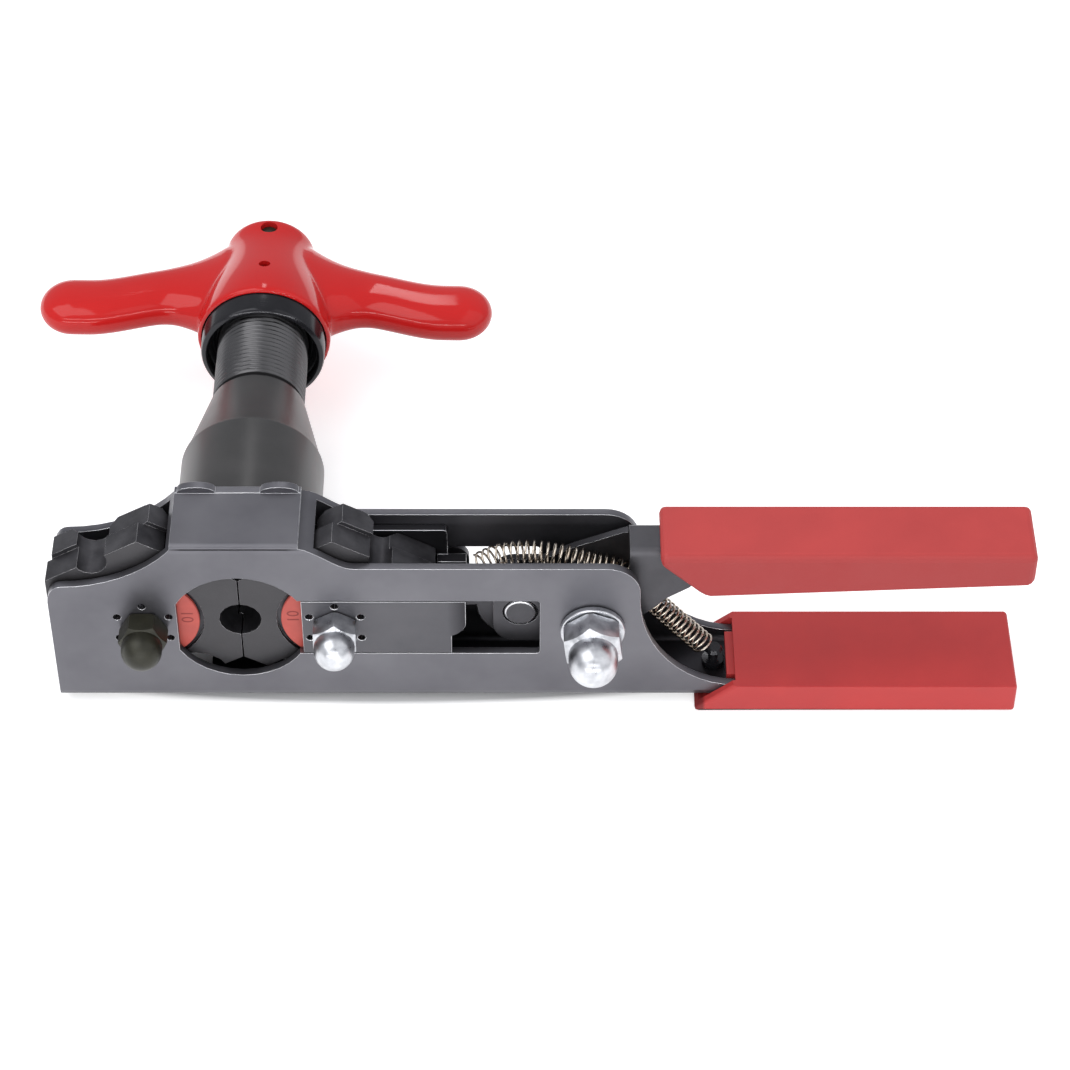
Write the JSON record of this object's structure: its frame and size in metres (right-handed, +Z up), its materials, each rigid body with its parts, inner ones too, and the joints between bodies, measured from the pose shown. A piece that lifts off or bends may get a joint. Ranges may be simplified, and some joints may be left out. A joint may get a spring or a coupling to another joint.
{
  "type": "tube flaring tool",
  "caption": "Hand-held flaring tool: indexing six-sided die wheels in a folded steel frame, squeeze grips with a toggle, and a screw-fed cone with a T-handle.",
  "frame": {"origin": "on the tube axis, midway between the frame's side plates, at the split of the two die wheels", "axes": "+X towards the grips, +Y along the spindle towards the T-handle, +Z up, from the lower grip to the upper grip"},
  "size_m": [0.2445, 0.1544, 0.055],
  "materials": {
    "gunmetal": "satin",
    "die_black": "black oxide, satin",
    "dial_red": "matte",
    "bright_steel": "ground",
    "spring_steel": "drawn wire",
    "satin_black": "satin",
    "dark_nut": "dark oxide",
    "zinc": "bright zinc",
    "grip_red": "matte",
    "gloss_black": "gloss",
    "red_enamel": "gloss"
  },
  "bodies": {
    "frame": {"housing": "gunmetal", "fixed_die_wheel": "die_black", "fixed_size_dial": "dial_red", "fixed_detent_ball": "bright_steel", "fixed_detent_spring": "spring_steel", "fixed_die_axle": "satin_black", "fixed_die_nut": "dark_nut", "fixed_die_spacer": "bright_steel", "spindle_nose": "satin_black", "pivot_bolt": "zinc", "pivot_nut": "zinc", "pivot_washer": "zinc", "pivot_sleeve": "bright_steel", "pivot_spacer": "bright_steel", "lower_grip": "grip_red", "spring_post": "gloss_black", "return_spring": "spring_steel"},
    "handle": {"handle_lever": "gunmetal", "upper_grip": "grip_red", "crank_pin": "gunmetal"},
    "link": {"toggle_link": "gunmetal", "slide_pin": "bright_steel"},
    "slide": {"jaw_slide": "gunmetal", "moving_die_wheel": "die_black", "moving_size_dial": "dial_red", "moving_detent_ball": "bright_steel", "moving_detent_spring": "spring_steel", "moving_die_axle": "satin_black", "moving_die_nut": "zinc"},
    "feed": {"flaring_cone": "bright_steel", "thrust_ball": "bright_steel"},
    "screw": {"t_handle": "red_enamel", "threaded_insert": "gloss_black", "spindle_shaft": "bright_steel", "cross_pin": "bright_steel", "cone_clip": "spring_steel"}
  },
  "joints": [
    {"name": "handle_swing", "type": "hinge", "parent": "frame", "child": "handle", "pos_m": [0.083, 0, 0], "axis": [0, -1, 0], "range_deg": [0, 26], "deforming": ["return_spring"]},
    {"name": "link_swing", "type": "hinge", "parent": "handle", "child": "link", "pos_m": [0.066, 0, 0], "axis": [0, -1, 0], "range_deg": [-56.2, 0]},
    {"name": "jaw_travel", "type": "slide", "parent": "frame", "child": "slide", "axis": [1, 0, 0], "range_m": [0, 0.005]},
    {"name": "spindle_feed", "type": "slide", "parent": "frame", "child": "feed", "axis": [0, -1, 0], "range_m": [-0.0031, 0.0141]},
    {"name": "spindle_turn", "type": "hinge", "parent": "feed", "child": "screw", "pos_m": [0, 0.1, 0], "axis": [0, -1, 0], "range_deg": [-720, 3360]}
  ],
  "couplings": [
    {"joint": "link_swing", "follows": "handle_swing", "ratio": -2.153},
    {"joint": "jaw_travel", "follows": "handle_swing", "m_per_rad": 0.011018},
    {"joint": "spindle_feed", "follows": "spindle_turn", "m_per_rad": 0.00023873}
  ]
}
